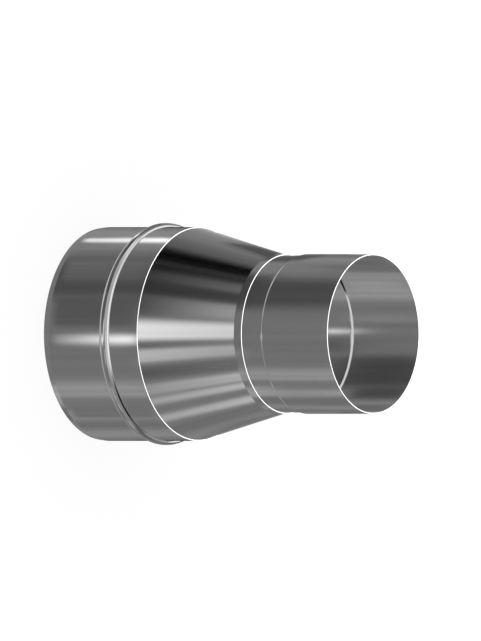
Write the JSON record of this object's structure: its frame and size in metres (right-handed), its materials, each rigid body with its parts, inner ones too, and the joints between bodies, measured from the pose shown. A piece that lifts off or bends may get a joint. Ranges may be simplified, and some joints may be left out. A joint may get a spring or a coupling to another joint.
{
  "type": "chimney adapter",
  "caption": "Single-wall stainless flue adapter: male spigot with stop bead and collar, reducing cone, and an expanded socket for a smaller pipe.",
  "frame": {"origin": "centre of the large rim, in the plane that the adapter stands on", "axes": "+Z along the flue's axis, from the large end up to the small end"},
  "size_m": [0.2114, 0.2114, 0.3127],
  "materials": {
    "stainless_sheet": "bright finely brushed stainless steel"
  },
  "bodies": {
    "root": {"spigot_collar": "stainless_sheet", "reducing_cone": "stainless_sheet", "socket_collar": "stainless_sheet"}
  },
  "joints": []
}
